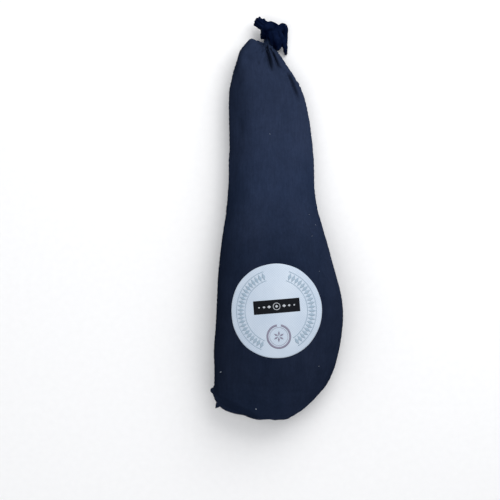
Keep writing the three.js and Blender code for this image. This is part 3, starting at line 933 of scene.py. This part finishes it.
class Shader:
    """Short ways to make one material's nodes."""

    def __init__(self, name):
        self.material = bpy.data.materials.new(name)
        self.material.use_nodes = True
        self.tree = self.material.node_tree
        self.surface = self.tree.nodes["Principled BSDF"]
        coords = self.tree.nodes.new("ShaderNodeTexCoord")
        self.place = coords.outputs["Object"]
        self.normal = coords.outputs["Normal"]

    def node(self, kind, **values):
        made = self.tree.nodes.new(kind)
        for key, value in values.items():
            setattr(made, key, value)
        return made

    def link(self, source, target):
        self.tree.links.new(source, target)

    def math(self, operation, a, b=None):
        made = self.node("ShaderNodeMath", operation=operation)
        for socket, value in zip(made.inputs, (a, b)):
            if isinstance(value, (int, float)):
                socket.default_value = value
            elif value is not None:
                self.link(value, socket)
        return made.outputs[0]

    def stretched(self, scale):
        made = self.node("ShaderNodeMapping")
        made.inputs["Scale"].default_value = scale
        self.link(self.place, made.inputs["Vector"])
        return made.outputs["Vector"]

    def noise(self, scale, detail=3.0, stretch=(1, 1, 1), roughness=0.55):
        made = self.node("ShaderNodeTexNoise")
        made.inputs["Scale"].default_value = scale
        made.inputs["Detail"].default_value = detail
        made.inputs["Roughness"].default_value = roughness
        self.link(self.stretched(stretch), made.inputs["Vector"])
        return made.outputs["Fac"]

    def ramp(self, source, stops):
        made = self.node("ShaderNodeValToRGB")
        elements = made.color_ramp.elements
        while len(elements) < len(stops):
            elements.new(0.5)
        for element, (position, colour) in zip(elements, stops):
            element.position = position
            element.color = (*colour, 1)
        self.link(source, made.inputs["Fac"])
        return made.outputs["Color"]

    def mix(self, share, first, second, blend="MIX"):
        made = self.node("ShaderNodeMix", data_type="RGBA", blend_type=blend)
        for socket, value in ((made.inputs[0], share), (made.inputs[6], first), (made.inputs[7], second)):
            if isinstance(value, (int, float)):
                socket.default_value = value
            elif isinstance(value, tuple):
                socket.default_value = (*value, 1)
            else:
                self.link(value, socket)
        return made.outputs[2]

    def axes(self, vector):
        made = self.node("ShaderNodeSeparateXYZ")
        self.link(vector, made.inputs[0])
        return list(made.outputs)

    def span(self, source, low, high, start=0.0, end=1.0):
        """Spreads a value that runs from start to end over low to high."""
        made = self.node("ShaderNodeMapRange")
        for name, value in (("From Min", start), ("From Max", end), ("To Min", low), ("To Max", high)):
            made.inputs[name].default_value = value
        self.link(source, made.inputs["Value"])
        return made.outputs["Result"]

    def grey(self, value):
        made = self.node("ShaderNodeCombineColor")
        for socket in made.inputs:
            self.link(value, socket)
        return made.outputs[0]

    def darkened(self, colour, value):
        return self.mix(1.0, colour, self.grey(value), "MULTIPLY")

    def weave(self, pitch):
        """The height of a plain weave, from 0 to 1, laid on from the side that the cloth faces."""
        turns = math.pi / pitch
        waves = [self.math("SINE", self.math("MULTIPLY", axis, turns)) for axis in self.axes(self.place)]
        weights = [self.math("POWER", self.math("ABSOLUTE", axis), 4.0) for axis in self.axes(self.normal)]
        total = self.math("ADD", self.math("ADD", weights[0], weights[1]), weights[2])
        sums = None
        for weight, (a, b) in zip(weights, ((1, 2), (0, 2), (0, 1))):
            part = self.math("MULTIPLY", weight, self.math("MULTIPLY", waves[a], waves[b]))
            sums = part if sums is None else self.math("ADD", sums, part)
        return self.math("ADD", self.math("MULTIPLY", self.math("DIVIDE", sums, total), 0.5), 0.5)

    def bump(self, height, distance, strength=1.0, below=None):
        made = self.node("ShaderNodeBump")
        made.inputs["Distance"].default_value = distance
        made.inputs["Strength"].default_value = strength
        self.link(height, made.inputs["Height"])
        if below is not None:
            self.link(below, made.inputs["Normal"])
        return made.outputs["Normal"]

    def finish(self, colour, roughness, normal, **constants):
        """Joins the colour, roughness and normal to the surface and sets its other sockets."""
        self.link(colour, self.surface.inputs["Base Color"])
        self.link(roughness, self.surface.inputs["Roughness"])
        self.link(normal, self.surface.inputs["Normal"])
        for key, value in constants.items():
            self.surface.inputs[key.replace("_", " ")].default_value = value
        return self.material


def bag_cloth(name, dark, light, patch_scale=9, at_neck=None):
    """Navy-black plain-woven cotton with slubs and patches of uneven tone, with painted shade that darkens
    it along the bag towards its sewn end and on the flanks that face left.

    at_neck is the bag's colour, which the knot's painted shade blends into where the knot leaves the bag.
    """
    shader = Shader(name)
    weave = shader.weave(BAG_WEAVE)
    patches = shader.noise(patch_scale, 4, (1, 0.6, 1))
    slubs = shader.noise(420, 2, (1, 0.08, 1))
    threads = shader.noise(520, 2, (0.08, 1, 1))
    mottle = shader.noise(55, 4, (1, 0.7, 1)), shader.noise(190, 3)
    colour = shader.ramp(patches, ((0.30, dark), (0.70, light)))
    flecks = shader.math("MULTIPLY", shader.span(weave, 0.62, 1.12), shader.span(slubs, 0.80, 1.18))
    colour = shader.darkened(colour, flecks)
    mottled = shader.math("MULTIPLY", shader.span(mottle[0], 0.80, 1.22), shader.span(mottle[1], 0.86, 1.15))
    colour = shader.darkened(colour, mottled)
    # Painted shade along the bag: darker towards the sewn end, where less lamp light falls.
    along = shader.span(shader.axes(shader.place)[1], 0, 1, BAG_LOW.y, PAINTED_SHADE_END)
    painted_shade_along = shader.ramp(along, [(at, (tone,) * 3) for at, tone in PAINTED_SHADE_ALONG_BAG])
    colour = shader.mix(1.0, colour, painted_shade_along, "MULTIPLY")
    # Painted shade: the cloth is darkened where it faces left, away from the key lamp.
    colour = shader.darkened(colour, shader.span(shader.axes(shader.normal)[0], 0.58, 1, -0.95, -0.20))
    if at_neck:
        away = shader.node("ShaderNodeVectorMath", operation="DISTANCE")
        away.inputs[1].default_value = NECK
        shader.link(shader.place, away.inputs[0])
        colour = shader.mix(shader.span(away.outputs["Value"], 0, 1, *NECK_BLEND), at_neck, colour)
    creased = shader.noise(38, 5, (1, 0.7, 1), 0.6)
    fine = shader.math("ADD", weave, shader.math("MULTIPLY", shader.math("ADD", slubs, threads), 0.55))
    normal = shader.bump(creased, 0.0016, 0.5)
    normal = shader.bump(fine, 0.00028, 0.6, normal)
    return shader.finish(colour, shader.span(patches, 0.78, 0.95), normal, Specular_IOR_Level=0.0)


def label_cloth():
    """White printed cloth: a fine dotted weave, a little grey and blue where it is shaded."""
    shader = Shader("label_white")
    weave = shader.weave(LABEL_WEAVE)
    patches = shader.noise(16, 3)
    colour = shader.ramp(patches, ((0.3, (0.46, 0.55, 0.67)), (0.72, (0.56, 0.64, 0.74))))
    colour = shader.darkened(colour, shader.span(weave, 0.86, 1.03))
    normal = shader.bump(weave, 0.00018, 0.6)
    normal = shader.bump(shader.noise(60, 3), 0.0005, 0.35, normal)
    return shader.finish(colour, shader.span(patches, 0.5, 0.65), normal, Sheen_Weight=0.12)


def ink(name, colour, wear):
    """Printed ink that lets a little of the weave show."""
    shader = Shader(name)
    weave = shader.weave(LABEL_WEAVE)
    patches = shader.noise(140, 3)
    share = shader.math("MULTIPLY", shader.span(weave, 0.2, 1.0), shader.span(patches, 0.0, 2 * wear))
    worn = tuple(c + (0.72 - c) * 0.35 for c in colour)
    normal = shader.bump(weave, 0.00016, 0.6)
    return shader.finish(shader.mix(share, colour, worn), shader.span(patches, 0.55, 0.75), normal,
                         Specular_IOR_Level=0.12)


def ham_rind():
    """Cured meat: amber rind, yellow fat in patches, and a dark horny foot."""
    shader = Shader("cured_rind")
    patches = shader.noise(22, 5, (1, 0.6, 1))
    tones = ((0.3, (0.20, 0.075, 0.025)), (0.5, (0.42, 0.20, 0.06)), (0.72, (0.62, 0.40, 0.16)))
    on_foot = shader.span(shader.axes(shader.place)[1], 0, 1, HAM_HIGH.y - 0.032, HAM_HIGH.y - 0.022)
    colour = shader.mix(on_foot, shader.ramp(patches, tones), (0.028, 0.018, 0.012))
    fine = shader.noise(260, 4)
    normal = shader.bump(fine, 0.0005, 0.5)
    normal = shader.bump(patches, 0.002, 0.4, normal)
    return shader.finish(colour, shader.span(fine, 0.35, 0.6), normal)


def lint_fibres():
    shader = Shader("lint_fibres")
    fibres = shader.noise(2600, 3, (1, 0.3, 1))
    colour = shader.ramp(fibres, ((0.3, (0.30, 0.36, 0.42)), (0.7, (0.55, 0.60, 0.66))))
    return shader.finish(colour, shader.span(fibres, 0.8, 1.0), shader.bump(fibres, 0.0002, 0.8))


def pale_floor():
    shader = Shader("pale_floor")
    grain = shader.noise(90, 3)
    colour = shader.ramp(grain, ((0.3, (0.91, 0.91, 0.915)), (0.7, (0.93, 0.93, 0.935))))
    return shader.finish(colour, shader.span(grain, 0.55, 0.7), shader.bump(grain, 0.0002, 0.2))


def dress(piece, material):
    piece.data.materials.clear()
    piece.data.materials.append(material)


# ---- The object ----

ham = build_ham()
skin = build_skin(ham)
bag = thickened(skin_object(skin, "ham_bag"), CLOTH_THICKNESS)
bag_tree = tree_of(bag)
knot = build_knot()
nubs = build_nubs(skin)
lint = build_lint(bag_tree)
bed = label_bed(bag_tree)
label = build_label(bed)
ornament, bar, bar_marks, seal = build_print(bed)

navy = bag_cloth("bag_cotton", NAVY_DARK, NAVY_LIGHT)
# The knot's cotton: the bag's, painted darker as shade.
knot_shaded_navy = bag_cloth("knot_cotton_painted_shade", KNOT_SHADED_DARK, KNOT_SHADED_LIGHT, KNOT_PATCHES, at_neck=NAVY_DARK)
dress(bag, navy)
dress(nubs, navy)
dress(knot, knot_shaded_navy)
dress(ham, ham_rind())
dress(lint, lint_fibres())
dress(label, label_cloth())
dress(ornament, ink("ink_grey", (0.27, 0.37, 0.47), 0.45))
dress(bar, ink("ink_black", (0.0012, 0.0022, 0.0050), 0.01))
dress(bar_marks, ink("ink_pale", (0.45, 0.48, 0.52), 0.5))
dress(seal, ink("ink_mauve", (0.20, 0.19, 0.27), 0.35))

for piece in (bag, knot, nubs, lint, ham, label, ornament, bar, bar_marks, seal):
    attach(piece, "root")
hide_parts("cloth_bag")
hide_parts("ham")
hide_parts("round_label")

# ---- Floor, light and camera ----

FLOOR_REACH = 3
FLOOR_GAP = 0.0002
LIGHTS = (  # name, place, size in metres, power in watts
    ("key", (0.70, 1.15, 1.25), 1.5, 25),
    ("fill", (-0.8, -0.5, 1.8), 1.8, 9),
)
AIM = Vector((0, 0, 0.03))
SKY, SKY_STRENGTH = (0.97, 0.98, 1.0, 1), 0.60
LENS = 150
VIEW_WIDTH = 0.85  # metres across the picture, at the height where the bag is widest
OUTLINE_HEIGHT = 0.03
VIEW_MIDDLE = (-0.0485, -0.0539)

floor = new_object("floor", square(FLOOR_REACH), [(0, 1, 2, 3)])
floor.location.z = -FLOOR_GAP
dress(floor, pale_floor())

for name, place, size, power in LIGHTS:
    light = bpy.data.lights.new(name, "AREA")
    light.size = size
    light.energy = power
    lamp = bpy.data.objects.new(name, light)
    lamp.location = place
    lamp.rotation_euler = (AIM - lamp.location).to_track_quat("-Z", "Y").to_euler()
    bpy.context.scene.collection.objects.link(lamp)

world = bpy.data.worlds.new("world")
world.use_nodes = True
sky = world.node_tree.nodes["Background"]
sky.inputs["Color"].default_value = SKY
sky.inputs["Strength"].default_value = SKY_STRENGTH
bpy.context.scene.world = world

camera = bpy.data.cameras.new("camera")
camera.lens = LENS
viewpoint = bpy.data.objects.new("camera", camera)
viewpoint.location = (*VIEW_MIDDLE, OUTLINE_HEIGHT + VIEW_WIDTH * LENS / camera.sensor_width)
bpy.context.scene.collection.objects.link(viewpoint)
bpy.context.scene.camera = viewpoint
bpy.context.scene.view_settings.view_transform = "Standard"
